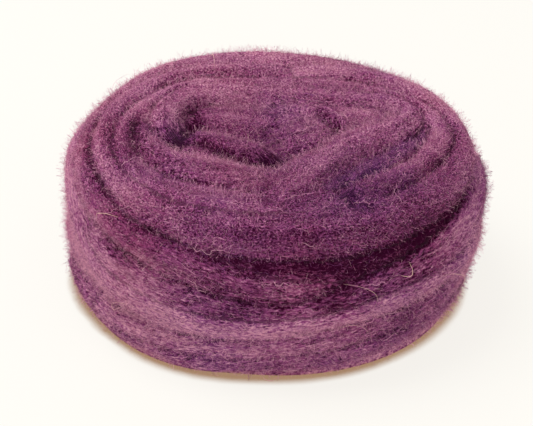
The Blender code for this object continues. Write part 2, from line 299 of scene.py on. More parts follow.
# %% Folds across the cap
Fold = namedtuple("Fold", "x y width proud")
FOLDS = {
    "outer_loop": (
        Fold(15, -45, 10, -3.5), Fold(-1, -47, 14, -0.8), Fold(-15, -46, 13, -0.3), Fold(-28, -41, 11, -0.3),
        Fold(-38, -32, 9, -0.3), Fold(-44, -20, 9, 0.0), Fold(-45, -9, 9, 0.0), Fold(-43, 3, 9, 0.0),
        Fold(-37, 16, 9, -0.3), Fold(-28, 27, 9, -0.6), Fold(-14, 32, 10, -1.0), Fold(6, 33, 10, -1.4),
        Fold(22, 31, 10, -1.2), Fold(36, 24, 10, -0.8), Fold(46, 14, 11, 0.0), Fold(50, 0, 11, 0.3),
        Fold(46, -12, 11, 0.3), Fold(38, -24, 12, 0.3), Fold(29, -34, 13, 0.0), Fold(18, -41, 14, -0.3),
        Fold(5, -46, 14, -0.8), Fold(-6, -48, 10, -3.0),
    ),
    "second_loop": (
        Fold(-41, 6, 6, -3.0), Fold(-40, -5, 8, -0.5), Fold(-37, -15, 11, 0.0), Fold(-30, -23, 15, 0.0),
        Fold(-21, -27, 19, 0.3), Fold(-12, -27, 20, 0.0), Fold(-5, -24, 17, -1.2), Fold(-1, -17, 10, -4.5),
    ),
    "inner_loop": (
        Fold(3, -7, 9, -6.0), Fold(-5, -6, 14, -1.8), Fold(-14, -6, 19, -0.6), Fold(-23, -6, 18, 0.0),
        Fold(-31, -4, 14, 0.5), Fold(-34, 4, 11, 0.8), Fold(-32, 14, 12, 1.0), Fold(-25, 22, 13, 1.0),
        Fold(-13, 25, 13, 0.8), Fold(0, 25, 12, 0.5), Fold(12, 25, 12, 0.3), Fold(24, 22, 11, 0.3),
        Fold(35, 19, 10, 0.5), Fold(41, 12, 11, 0.5), Fold(36, 3, 15, 0.8), Fold(27, -3, 19, 1.2),
        Fold(18, -11, 20, 1.3), Fold(11, -21, 20, 1.2), Fold(6, -32, 20, 0.8), Fold(2, -42, 19, 0.0),
        Fold(-3, -51, 15, -2.5),
    ),
    "left_fill": (
        Fold(-26, 12, 7, -3.0), Fold(-20, 13, 12, -1.0), Fold(-13, 13, 16, -0.4), Fold(-6, 13, 16, -0.4),
        Fold(1, 11, 13, -1.0),
    ),
    "middle_curl": (
        Fold(-4, 13, 9, -3.0), Fold(3, 18, 12, -0.2), Fold(11, 17, 13, 0.5), Fold(16, 12, 13, 0.3),
        Fold(15, 6, 14, -0.4), Fold(8, 3, 14, -1.6), Fold(1, 3, 10, -3.6),
    ),
    "curl_fill": (
        Fold(0, 10, 13, -0.8), Fold(5, 11, 15, 0.0), Fold(9, 9, 14, 0.2),
    ),
    "right_fill": (
        Fold(20, 17, 9, -1.8), Fold(27, 14, 12, -0.6), Fold(31, 10, 11, -1.0), Fold(27, 5, 11, -2.5),
    ),
    "sunk_strand": (
        Fold(46, 8, 6, -3.0), Fold(43, -2, 7, -2.6), Fold(37, -12, 8, -2.4), Fold(29, -21, 9, -2.2),
        Fold(22, -29, 10, -2.4), Fold(15, -37, 9, -2.8), Fold(9, -44, 8, -4.0),
    ),
}

# %% [markdown]
# ## Where turns stay apart and where they felt
# Only a few creases are deep and dark: below the rim, where the top turn hangs over the next, and where two
# folds meet on the cap. Most turns have felted to their neighbours and show no more than a faint line. So each
# pair of strands has a depth of crease, which sets its pinch and its painted shade, and a few broad spots are
# felted further.

# %% Creases between strands
FAINT = 0.40            # the depth of a crease that the table leaves out
CREASES = {
    ("shoulder", "rim"): 1.6, ("under_rim", "rim"): 1.6, ("middle", "rim"): 1.3, ("middle", "shoulder"): 1.3,
    ("middle", "under_rim"): 1.4, ("crossing", "middle"): 0.7, ("low", "crossing"): 0.8, ("foot", "low"): 0.8,
    ("rim", "outer_loop"): 1.0, ("outer_loop", "second_loop"): 1.15, ("outer_loop", "inner_loop"): 1.1,
    ("inner_loop", "sunk_strand"): 0.9, ("outer_loop", "sunk_strand"): 1.0, ("inner_loop", "left_fill"): 1.2,
    ("second_loop", "inner_loop"): 0.7, ("inner_loop", "middle_curl"): 0.8, ("inner_loop", "right_fill"): 0.6,
}

# %% Spots where turns have felted together
Felted = namedtuple("Felted", "x y z reach share")
FELTED = (
    Felted(-8, -50, 51, 26, 1.0),     # the front lip, which is one broad surface
    Felted(14, -50, 51, 20, 1.0),
    Felted(-36, -40, 51, 16, 0.9),
    Felted(-4, -27, 50, 13, 0.75),    # beside the wide strand, below the deepest hollow
    Felted(9, 11, 49, 13, 0.8),       # the curl in the middle, and the wool to its left
    Felted(-12, 16, 49, 11, 0.9),
    Felted(10, 29, 51, 18, 0.7),      # the back of the cap
    Felted(-33, -53, 25, 16, 0.6),    # the front left, where a broad pale band hides its turns
    Felted(-52, -36, 26, 10, 0.4),
    Felted(32, -24, 51, 12, 0.85),    # the wide strand's right side
    Felted(5, -62, 12, 22, 0.5),      # the front, low down
)
print(len(WINDS), "winds and", len(FOLDS), "folds")

# %% [markdown]
# ## From stations to centrelines
# Each route is read as a smooth curve and resampled at an even step. A point of it knows its radius,
# the way the strand runs, the way it faces out of the nest, and how far along the strand it lies. All
# routes go into one set of arrays, with a wide gap in that last number from one strand to the next.

# %% Centrelines
import numpy as np

FULLNESS = 0.93         # how much of its width a strand's firm part fills, under the fuzz
CENTRELINE_STEP = 1.2
STRAND_GAP = 1000.0     # between one strand's last place along and the next strand's first
TABLE_STEPS = 16        # how finely a table is read between two of its rows
CENTRE_SHIFT = np.array((-0.442, -0.162, 0.0))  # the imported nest's box is centred on the origin

Centreline = namedtuple("Centreline", "name points radii faces runs alongs")


def wind_station(wind):
    """Where the middle of the strand lies, its radius, and the way it faces out of the nest."""
    ring, (outward, upward) = form_at(wind.down)
    radius = wind.width * FULLNESS / 2
    sink = radius - wind.proud
    turn = math.radians(wind.turn)
    reach, height = ring.reach - outward * sink, ring.height - upward * sink
    face = (outward * math.cos(turn), outward * math.sin(turn), upward)
    return (reach * math.cos(turn), reach * math.sin(turn), height), radius, face


def fold_station(fold):
    radius = fold.width * FULLNESS / 2
    height = cap_height(math.hypot(fold.x, fold.y)) + fold.proud - radius
    return (fold.x, fold.y, height), radius, (0.0, 0.0, 1.0)


def unit(vectors):
    return vectors / np.maximum(np.linalg.norm(vectors, axis=-1, keepdims=True), 1e-9)


def read_centreline(name, rows, station, order):
    fine = [station(between(rows, step / TABLE_STEPS)) for step in range(TABLE_STEPS * (len(rows) - 1) + 1)]
    places, radii, faces = (np.array(column, float) for column in zip(*fine))
    walked = np.concatenate([[0.0], np.cumsum(np.linalg.norm(np.diff(places, axis=0), axis=1))])
    even = np.arange(0.0, walked[-1], CENTRELINE_STEP)
    points = np.stack([np.interp(even, walked, places[:, axis]) for axis in range(3)], 1) + CENTRE_SHIFT
    turned = unit(np.stack([np.interp(even, walked, faces[:, axis]) for axis in range(3)], 1))
    runs = unit(np.gradient(points, axis=0))
    return Centreline(name, points, np.interp(even, walked, radii), turned, runs, even + order * STRAND_GAP)


def crease_table(names):
    """How deep the crease is between each two strands, by their places in the list."""
    table = np.full((len(names), len(names)), FAINT)
    for (first, second), depth in CREASES.items():
        row, column = names.index(first), names.index(second)
        table[row, column] = table[column, row] = depth
    return table


routes = [(name, rows, wind_station) for name, rows in WINDS.items()]
routes += [(name, rows, fold_station) for name, rows in FOLDS.items()]
strands = [read_centreline(*route, order) for order, route in enumerate(routes)]
strand_points, strand_radii, strand_faces, strand_runs, strand_alongs = (
    np.concatenate([strand[column] for strand in strands]) for column in range(1, 6))
crease_depths = crease_table([strand.name for strand in strands])
strand_length = len(strand_points) * CENTRELINE_STEP / 1000
print(len(strand_points), "centreline points,", round(strand_length, 2), "m of strand")

# %% [markdown]
# ## One soft skin
# Where two winds of roving press together, they felt a little and share one surface. A voxel remesh
# gives just that: all tubes, and a turned body that fills the inside, melt into one closed skin with a
# crease wherever two strands meet. The cells are under a millimetre, so the creases stay narrow.

# %% Tubes, body and skin
import bmesh

TUBE_SIDES = 4          # the bevel resolution of a strand's tube
BODY_INSET = 2.6        # how far the body lies inside the form, and how far its cap lies below
CAP_DROP = 8.0
CAP_REACH = 42.0
BODY_HEM = 1.0          # the height below which the body goes straight down
BODY_FOOT = 4.0
BODY_STEPS = 96
SKIN_CELL = 0.78 * MM


def strand_tube(strand):
    curve = bpy.data.curves.new(strand.name, "CURVE")
    curve.dimensions = "3D"
    curve.bevel_depth = MM
    curve.bevel_resolution = TUBE_SIDES
    curve.use_fill_caps = True
    spline = curve.splines.new("POLY")
    spline.points.add(len(strand.points) - 1)
    for place, point, radius in zip(spline.points, strand.points, strand.radii):
        place.co = (*(point * MM), 1.0)
        place.radius = radius
    tube = bpy.data.objects.new(strand.name, curve)
    bpy.context.scene.collection.objects.link(tube)
    return tube


def body_profile():
    """The body's outline from the middle of its cap to the middle of its foot, as reach and height."""
    outline = [(0.0, FORM[0].height - CAP_DROP)]
    for down in FORM_DOWNS[1:]:
        ring, (outward, upward) = form_at(down)
        middle = max(0.0, 1.0 - ring.reach / CAP_REACH)
        inset = BODY_INSET + (CAP_DROP - BODY_INSET) * middle
        if ring.height > BODY_HEM:
            outline.append((ring.reach - outward * inset, ring.height - upward * inset))
    outline.append((outline[-1][0], -BODY_FOOT))
    outline.append((0.0, -BODY_FOOT))
    return outline


def turned_body():
    mesh = bpy.data.meshes.new("turned_body")
    corners = [(reach * MM, 0.0, height * MM) for reach, height in body_profile()]
    mesh.from_pydata(corners, [(step, step + 1) for step in range(len(corners) - 1)], [])
    body = bpy.data.objects.new("turned_body", mesh)
    bpy.context.scene.collection.objects.link(body)
    screw = body.modifiers.new("Turned", "SCREW")
    screw.steps = screw.render_steps = BODY_STEPS
    screw.use_merge_vertices = True
    screw.merge_threshold = 0.0001
    return body


def fused(objects):
    """One mesh of all these objects' evaluated shapes, which are then removed."""
    bpy.context.view_layer.update()
    graph = bpy.context.evaluated_depsgraph_get()
    whole = bmesh.new()
    for obj in objects:
        mesh = bpy.data.meshes.new_from_object(obj.evaluated_get(graph))
        mesh.transform(obj.matrix_world)
        whole.from_mesh(mesh)
        bpy.data.meshes.remove(mesh)
        bpy.data.objects.remove(obj, do_unlink=True)
    bmesh.ops.remove_doubles(whole, verts=whole.verts, dist=0.00001)
    mesh = bpy.data.meshes.new("roving_skin")
    whole.to_mesh(mesh)
    whole.free()
    return mesh


def remeshed(obj):
    """Melts the object's overlapping closed shapes into one skin of even cells."""
    melt = obj.modifiers.new("Melted", "REMESH")
    melt.mode = "VOXEL"
    melt.voxel_size = SKIN_CELL
    melt.use_smooth_shade = True
    bpy.context.view_layer.update()
    mesh = bpy.data.meshes.new_from_object(obj.evaluated_get(bpy.context.evaluated_depsgraph_get()))
    obj.modifiers.clear()
    obj.data = mesh


def cut_flat(obj):
    """Cuts away what lies below the table and closes the cut."""
    shape = bmesh.new()
    shape.from_mesh(obj.data)
    everything = shape.verts[:] + shape.edges[:] + shape.faces[:]
    table_plane = {"plane_co": (0, 0, 0), "plane_no": (0, 0, 1)}
    cut = bmesh.ops.bisect_plane(shape, geom=everything, clear_inner=True, **table_plane)
    rim = [part for part in cut["geom_cut"] if isinstance(part, bmesh.types.BMEdge)]
    bmesh.ops.triangle_fill(shape, edges=rim, use_beauty=True)
    bmesh.ops.recalc_face_normals(shape, faces=shape.faces[:])
    for face in shape.faces:
        face.smooth = True
    shape.to_mesh(obj.data)
    shape.free()


skin_parts = [turned_body()] + [strand_tube(strand) for strand in strands]
skin = bpy.data.objects.new("roving_skin", fused(skin_parts))
bpy.context.scene.collection.objects.link(skin)
remeshed(skin)
cut_flat(skin)
print("skin:", len(skin.data.vertices), "points,", len(skin.data.polygons), "faces")

# %% [markdown]
# ## Which strand is a point of the skin on
# Everything that makes roving look like roving follows the strand: its streaks, its fibres and the
# creases between its turns. So each point of the skin looks up the nearest strand, and the second
# nearest turn. Where both are about as near, the point lies in a crease. The lookup is done on whole
# arrays, a block of points at a time, which takes seconds where a loop would take minutes.

# %% Nearest strand
from mathutils import noise

LOOKUP_BLOCK = 3000
SAME_TURN = 22.0        # two places of a strand that are nearer than this along it are the same turn
FRAY = 1.4              # how ragged a crease is, in mm, and how fine its noise is
FRAY_SCALE = 0.9
FADE = 0.7              # how much it fades in and out, and how quickly
FADE_SCALE = 0.08
CRISPEST = 1.4

Lay = namedtuple("Lay", "along across order runs crease crisp")


def skin_arrays(mesh):
    """The skin's points in millimetres, and their normals."""
    points = np.empty(len(mesh.vertices) * 3)
    normals = np.empty(len(mesh.vertices) * 3)
    mesh.vertices.foreach_get("co", points)
    mesh.vertices.foreach_get("normal", normals)
    return points.reshape(-1, 3) / MM, unit(normals.reshape(-1, 3))


def nearness(places, spot):
    """1 in the middle of a round spot, and less with the distance from it, against its reach."""
    away = np.linalg.norm(places - (spot.x, spot.y, spot.z), axis=1) / spot.reach
    return np.exp(-away ** 2)


def felted_share(places):
    """How far the turns have felted together there, from 0 to about 1."""
    return np.max([spot.share * nearness(places, spot) for spot in FELTED], axis=0)


def lay_of(places, normals):
    """How each place lies on its strand. crease is the lead of the nearest turn over the next, in mm."""
    columns = []
    for start in range(0, len(places), LOOKUP_BLOCK):
        block = places[start:start + LOOKUP_BLOCK]
        gaps = np.sqrt(((block[:, None, :] - strand_points[None, :, :]) ** 2).sum(2)) - strand_radii
        first = gaps.argmin(1)
        nearest = gaps[np.arange(len(block)), first]
        gaps[np.abs(strand_alongs[None, :] - strand_alongs[first][:, None]) < SAME_TURN] = np.inf
        second = gaps.argmin(1)
        lead = gaps[np.arange(len(block)), second] - nearest
        pair = [(strand_alongs[near] // STRAND_GAP).astype(int) for near in (first, second)]
        crisp = crease_depths[pair[0], pair[1]]
        columns.append((first, lead, crisp))
    first, lead, crisp = (np.concatenate(column) for column in zip(*columns))
    offset = places - strand_points[first]
    runs = strand_runs[first]
    forward = (offset * runs).sum(1)
    faces = strand_faces[first]
    round_it = np.arctan2((offset * np.cross(runs, faces)).sum(1), (offset * faces).sum(1))
    level_runs = unit(runs - normals * (runs * normals).sum(1, keepdims=True))
    order = np.floor(strand_alongs[first] / STRAND_GAP)
    crisp = crisp * np.clip(1.0 - felted_share(places), 0.0, 1.0)
    return Lay(strand_alongs[first] % STRAND_GAP + forward, round_it * strand_radii[first], order,
               level_runs, lead, crisp)


def plain_noise(points, scale):
    return np.array([noise.noise(Vector(place)) for place in points * scale])


def frayed(lay, points):
    """Creases with ragged edges that fade in and out along the strand."""
    crease = np.maximum(lay.crease + FRAY * plain_noise(points, FRAY_SCALE), 0.0)
    crisp = lay.crisp * (1.0 + FADE * plain_noise(points, FADE_SCALE))
    return lay._replace(crease=crease, crisp=np.clip(crisp, 0.0, CRISPEST))


skin_points, skin_normals = skin_arrays(skin.data)
lay = frayed(lay_of(skin_points, skin_normals), skin_points)
print("points within 1 mm of a crease:", int((lay.crease < 1.0).sum()))

# %% [markdown]
# ## Felting, creases and ridges
# First the skin is smoothed, and most where the strand is felted to its neighbours. Then each crease is
# pinched in, lengthwise ridges are raised where a strand bunches, and the few deep hollows at the
# folds' ends are pressed down. Moving points along their normals keeps the nest's size.

# %% Shape the skin
CRISP_SPREADS = 12      # how many times the crispness of the creases is spread over neighbours
SMOOTHINGS = 45         # rounds of smoothing, and how far a point moves in each
SMOOTHING_LEAST = 0.06
SMOOTHING_MOST = 0.6
FELTINGS = 90           # more rounds, where turns have felted together
LAST_SMOOTHING = 0.25
PINCH_DEPTH = 1.5       # how deep a crease is pinched in, and how wide, in mm
PINCH_WIDTH = 0.8
RIDGES = ((0.035, 0.42, 0.42), (0.09, 0.95, 0.22))   # per mm along, per mm across, and height in mm
BASE_CALM = 1.5         # below this height nothing is moved, so the base stays flat

Hollow = namedtuple("Hollow", "x1 y1 x2 y2 reach deep")
HOLLOWS = (    # where the cap dips, with painted shade in it, each along a line in plan; the two with no depth are painted shade lines only
    Hollow(-24.5, 9.0, -28.0, -1.0, 3.2, 4.0), Hollow(-28.0, -1.0, -30.5, -11.0, 3.0, 3.2),
    Hollow(-27.0, -8.0, -15.0, -10.5, 1.9, 1.7), Hollow(-15.0, -10.5, -4.0, -12.5, 1.9, 1.8),
    Hollow(-1.5, -10.5, 9.5, -6.5, 4.6, 5.0), Hollow(14.0, 13.5, 19.5, 4.0, 2.4, 2.2),
    Hollow(36.0, 11.0, 37.0, 9.0, 1.8, 0.9), Hollow(42.0, 2.0, 43.0, -6.0, 1.8, 1.0),
    Hollow(43.0, -6.0, 39.0, -17.0, 2.0, 1.3), Hollow(39.0, -17.0, 30.0, -24.0, 2.2, 1.4),
    Hollow(30.0, -24.0, 21.0, -31.0, 2.4, 1.5), Hollow(21.0, -31.0, 17.5, -38.0, 2.2, 1.3),
    Hollow(17.5, -38.0, 21.0, -44.5, 2.0, 1.2), Hollow(21.0, -44.5, 27.0, -46.5, 1.8, 0.9),
    Hollow(-30.0, 37.0, -22.0, 41.0, 1.7, 0.6), Hollow(-22.0, 41.0, -6.0, 45.0, 1.7, 0.6),
    Hollow(-6.0, 45.0, 12.0, 44.0, 1.5, 0.4),
    Hollow(-35.0, -26.0, -30.0, -32.0, 1.8, 0.9), Hollow(-30.0, -32.0, -22.0, -36.0, 1.8, 1.0),
    Hollow(-33.0, -42.5, -25.0, -49.5, 1.8, 0.9), Hollow(-25.0, -49.5, -18.0, -51.0, 1.8, 0.8),
    Hollow(-2.6, -50.0, -3.2, -29.0, 0.7, 0.0), Hollow(-2.8, 43.0, -1.0, 25.0, 0.7, 0.0),
)


def from_hollow(points, hollow):
    """How far each point is, in plan, from the line along the middle of a hollow."""
    start, end = np.array((hollow.x1, hollow.y1)), np.array((hollow.x2, hollow.y2))
    share = np.clip(((points[:, :2] - start) @ (end - start)) / ((end - start) ** 2).sum(), 0.0, 1.0)
    return np.linalg.norm(points[:, :2] - start - share[:, None] * (end - start), axis=1)


def neighbour_mean(values, edges):
    """The mean of each point's neighbours along the skin's edges."""
    count = len(values)
    ties = np.bincount(edges.ravel(), minlength=count)
    sums = [np.bincount(edges[:, 0], values[edges[:, 1], axis], count)
            + np.bincount(edges[:, 1], values[edges[:, 0], axis], count) for axis in range(values.shape[1])]
    return np.stack(sums, 1) / ties[:, None]


def skin_edges(mesh):
    edges = np.empty(len(mesh.edges) * 2, np.int64)
    mesh.edges.foreach_get("vertices", edges)
    return edges.reshape(-1, 2)


def streaks(lay, along_scale, across_scale, seed):
    """Noise from about -1 to 1 that is drawn out along the strand."""
    rows = zip(lay.along * along_scale, lay.across * across_scale, lay.order * 3.7 + seed)
    return np.array([noise.noise(Vector(row)) for row in rows]) * 1.6


def put_points(mesh, points):
    mesh.vertices.foreach_set("co", (points * MM).ravel())
    mesh.update()


def shape_skin(mesh):
    edges = skin_edges(mesh)
    points, normals = skin_arrays(mesh)
    free = np.clip(points[:, 2:3] / BASE_CALM, 0.0, 1.0)
    crisp = lay.crisp[:, None]
    for _ in range(CRISP_SPREADS):
        crisp = 0.5 * (crisp + neighbour_mean(crisp, edges))
    felting = (SMOOTHING_LEAST + (SMOOTHING_MOST - SMOOTHING_LEAST) * np.clip(1.0 - crisp, 0.0, 1.0)) * free
    for _ in range(SMOOTHINGS):
        points += felting * (neighbour_mean(points, edges) - points)
    felted = np.minimum(felted_share(points), 1.0)[:, None] * free
    for _ in range(FELTINGS):
        points += SMOOTHING_MOST * felted * (neighbour_mean(points, edges) - points)
    put_points(mesh, points)
    points, normals = skin_arrays(mesh)
    pinch = PINCH_DEPTH * lay.crisp * np.exp(-lay.crease / PINCH_WIDTH)
    rise = sum(high * streaks(lay, along, across, seed)
               for seed, (along, across, high) in enumerate(RIDGES)) - pinch
    points += normals * rise[:, None] * free
    upward = np.clip(normals[:, 2], 0.0, 1.0)
    for hollow in HOLLOWS:
        points[:, 2] -= hollow.deep * upward * np.exp(-(from_hollow(points, hollow) / hollow.reach) ** 2)
    points[:, 2] = np.maximum(points[:, 2], 0.0)
    points += LAST_SMOOTHING * free * (neighbour_mean(points, edges) - points)
    put_points(mesh, points)


shape_skin(skin.data)
skin_points, skin_normals = skin_arrays(skin.data)
print("shaped skin:", skin_points.min(0).round(1), "to", skin_points.max(0).round(1), "mm")

# %% [markdown]
# ## What the colour needs to know
# Three numbers a point carry the colour over the surface. The first is painted shade, dark in creases and
# hollows, where little light gets in between the fibres. tone is lighter or darker, and hue is redder or bluer
# than the dye's mean, because hand-dyed wool takes the dye unevenly along the strand; tone also carries
# painted light and shade.

# %% Groove, tone and hue
PAINTED_SHADE_NARROW = 1.0     # painted shade: a crease is painted as a narrow dark line in a broad soft shade: their widths in mm
PAINTED_SHADE_BROAD = 5.0
NARROW_SHARE = 0.58
HOLLOW_SHADE = 0.36     # how dark the painted shade of a hollow is for each millimetre of its depth, and at most
HOLLOW_MOST = 1.5
HOLLOW_FALL = 1.6       # how steeply its shade ends
HOLLOWS_FROM = 35.0     # only wool above this height is in a hollow of the cap
HOLLOW_FRAY = ((0.35, 0.8), (1.3, 0.5))   # its ragged edge: noise cells in a millimetre, and strength
TANGLE_FROM = 36.0      # fibres lie more tangled on the cap than on the side: from this height up
TANGLE_RISE = 10.0
TONE_SPREADS = 6        # how many times a strand's tone is spread over neighbours
BAND_TONE = 0.30        # broad soft bands along the strand, where it took more dye or less
BAND_LONG = 0.022
BAND_WIDE = 0.28
STRAND_TONES = {   # tone and hue of a whole strand; the darker tone of under_rim, which lies deep below the rim, is painted shade
    "foot": (0.0, -0.25), "crossing": (0.70, -0.30), "middle": (0.1, -0.1), "low": (0.15, -0.15),
    "sunk_strand": (-0.25, -0.5),
    "under_rim": (-0.45, 0.25), "shoulder": (0.0, 0.15), "left_fill": (-0.1, 0.1),
}
Tint = namedtuple("Tint", "x y z reach tone hue")
DYE_AND_LIGHT_PATCHES = (    # patches lighter or darker, redder or bluer: some are uneven dye, and some are painted light and shade, paler at the sides, the back and the low front, darker at and below the front of the rim
    Tint(20, -45, 51, 16, -0.25, -0.15), Tint(8, -56, 48, 16, -0.2, -0.1), Tint(36, -39, 50, 14, -0.15, -0.1),
    Tint(-60, -20, 28, 24, 0.55, 0.15), Tint(-48, -42, 12, 20, 0.7, 0.1), Tint(12, -62, 24, 13, 0.35, 0.0),
    Tint(-20, -55, 48, 14, 0.1, 0.1), Tint(0, 60, 48, 36, 0.6, 0.3), Tint(-48, 30, 50, 24, 0.65, 0.5),
    Tint(54, 24, 46, 24, 0.95, 0.4), Tint(-22, 24, 50, 12, 0.35, 0.1), Tint(-14, -4, 49, 12, -0.1, 0.0),
    Tint(-27, 0, 47, 8, 0.0, -0.5), Tint(-3, 16, 50, 7, 0.0, -0.3), Tint(27, -33, 52, 9, -0.2, -0.1),
    Tint(-12, -61, 34, 15, -0.35, -0.1), Tint(40, -10, 52, 14, 0.15, 0.1), Tint(-22, -58, 14, 14, 0.3, 0.0),
    Tint(-57, -4, 44, 16, -0.15, 0.5), Tint(-38, 6, 51, 9, 0.4, 0.1), Tint(60, -25, 22, 18, 0.5, -0.1),
    Tint(22, -60, 34, 12, -0.5, 0.3), Tint(42, -48, 36, 12, -0.4, 0.3),
    # a pale band, painted light where a wind's lower edge catches the light
    Tint(38, -51, 25, 7, 0.5, -0.1), Tint(47, -42, 31, 7, 0.5, -0.1), Tint(54, -31, 34, 7, 0.4, 0.0),
    # the painted shadow line under that pale band
    Tint(40, -49, 18, 6, -0.7, 0.0), Tint(50, -38, 21, 6, -0.7, 0.0), Tint(57, -26, 24, 6, -0.5, 0.0),
)
HEM_LIGHT = 0.5          # painted light: the hem is paler, as if lit from below by the table
HEM_HEIGHT = 4.5
TONE_MOST = 0.75        # above this the grain would no longer show


# painted shade: darkest along deep creases and in the cap's hollows
def painted_shade_values(points):
    sharp = (NARROW_SHARE * np.exp(-lay.crease / PAINTED_SHADE_NARROW)
             + (1.0 - NARROW_SHARE) * np.exp(-lay.crease / PAINTED_SHADE_BROAD))
    painted_shade = lay.crisp * sharp
    wobble = 1.0 + sum(strength * plain_noise(points, scale) for scale, strength in HOLLOW_FRAY)
    for hollow in HOLLOWS:
        away = from_hollow(points, hollow) / (hollow.reach * np.maximum(wobble, 0.3))
        near = np.exp(-away ** HOLLOW_FALL) * (points[:, 2] > HOLLOWS_FROM)
        painted_shade = np.maximum(painted_shade, near * min(HOLLOW_SHADE * (1.0 + hollow.deep), HOLLOW_MOST))
    return painted_shade


def paint_values(points, edges):
    """painted shade, tone and hue for each point of the skin, softened over a few cells."""
    own_tones = np.array([STRAND_TONES.get(strand.name, (0.0, 0.0)) for strand in strands])
    tones = own_tones[lay.order.astype(int)]
    for _ in range(TONE_SPREADS):
        tones = 0.5 * (tones + neighbour_mean(tones, edges))
    for tint in DYE_AND_LIGHT_PATCHES:
        tones += nearness(points, tint)[:, None] * (tint.tone, tint.hue)
    tones[:, 0] += BAND_TONE * streaks(lay, BAND_LONG, BAND_WIDE, 5.0)
    tones[:, 0] += HEM_LIGHT * np.exp(-(points[:, 2] / HEM_HEIGHT) ** 2)
    tones[:, 0] = np.minimum(tones[:, 0], TONE_MOST)
    painted_shade = painted_shade_values(points)[:, None]
    return np.column_stack([0.5 * (painted_shade + neighbour_mean(painted_shade, edges)), tones])


skin_values = paint_values(skin_points, skin_edges(skin.data))
skin_tangle = np.clip((skin_points[:, 2] - TANGLE_FROM) / TANGLE_RISE, 0.0, 1.0)
print("groove, tone and hue, mean:", skin_values.mean(0).round(2))

# %% [markdown]
# ## The wool's colour and grain
# Skin and fibres share one dye and one painted shade, so their colour is worked out in one shader node group
# that both materials use. It puts out a colour only. Light that goes deep into wool meets more dyed fibres and
# is filtered again and again, so a place of painted shade is more saturated, not only darker: the dark end has
# hardly any green.
# The hue makes a place redder or bluer. The tone, with two sizes of soft noise and less the painted shade,
# goes from the dark end at -1 to the pale one at 1. A second group turns noise in the strand's own
# directions into a fine grain, so that the skin under the fibres looks fibrous too.

# %% Node helpers
def link(tree, value, socket):
    """Feeds a socket from another node's output, or sets it to a plain number or colour."""
    if isinstance(value, bpy.types.NodeSocket):
        tree.links.new(value, socket)
    else:
        socket.default_value = value


def maths(tree, operation, first, second=0.0, third=0.0, clamp=False):
    node = tree.nodes.new("ShaderNodeMath")
    node.operation = operation
    node.use_clamp = clamp
    for value, socket in zip((first, second, third), node.inputs):
        link(tree, value, socket)
    return node.outputs[0]


def blended(tree, share, first, second):
    """A colour between two colours."""
    node = tree.nodes.new("ShaderNodeMix")
    node.data_type = "RGBA"
    for value, socket in zip((share, first, second), (node.inputs[0], node.inputs[6], node.inputs[7])):
        link(tree, value, socket)
    return node.outputs[2]


def cloud(tree, vector, scale, detail=2.0, roughness=0.5):
    """Noise from about -1 to 1."""
    node = tree.nodes.new("ShaderNodeTexNoise")
    node.inputs["Scale"].default_value = scale
    node.inputs["Detail"].default_value = detail
    node.inputs["Roughness"].default_value = roughness
    link(tree, vector, node.inputs["Vector"])
    return maths(tree, "MULTIPLY_ADD", node.outputs["Fac"], 2.8, -1.4)


def stored(tree, name, output="Fac"):
    node = tree.nodes.new("ShaderNodeAttribute")
    node.attribute_name = name
    return node.outputs[output]


def new_group(name, inputs, outputs):
    """A shader node group with named inputs and outputs, and its two end nodes."""
    group = bpy.data.node_groups.new(name, "ShaderNodeTree")
    for label, kind in inputs:
        group.interface.new_socket(label, in_out="INPUT", socket_type=kind)
    for label, kind in outputs:
        group.interface.new_socket(label, in_out="OUTPUT", socket_type=kind)
    return group, group.nodes.new("NodeGroupInput").outputs, group.nodes.new("NodeGroupOutput").inputs


def placed_group(tree, group):
    node = tree.nodes.new("ShaderNodeGroup")
    node.node_tree = group
    return node


# %% Dye group
DYE_MEAN = (0.340, 0.072, 0.228, 1.0)
DYE_RED = (0.375, 0.064, 0.172, 1.0)
DYE_BLUE = (0.275, 0.070, 0.265, 1.0)
# the pale end of the tone serves pale dye and painted light, the dark ends dark dye and painted shade
PALE_DYE_AND_LIGHT = (0.790, 0.400, 0.520, 1.0)
DARK_DYE_AND_SHADE = (0.040, 0.002, 0.020, 1.0)
BLUE_DARK_DYE_AND_SHADE = (0.032, 0.010, 0.050, 1.0)    # the dark end of a bluer place, for its dark dye and painted shade
PATCH_SCALE = 38.0      # a patch of dye is about 26 mm across
PATCH_HUE = 0.55
MOTTLE = (120.0, 0.16)  # a noise's scale and its share of the tone
CLUMPS = (420.0, 0.20)  # tufts of a few millimetres
TONE_DROP = 0.24        # the wool's own shade between its fibres, which are lit more than it is


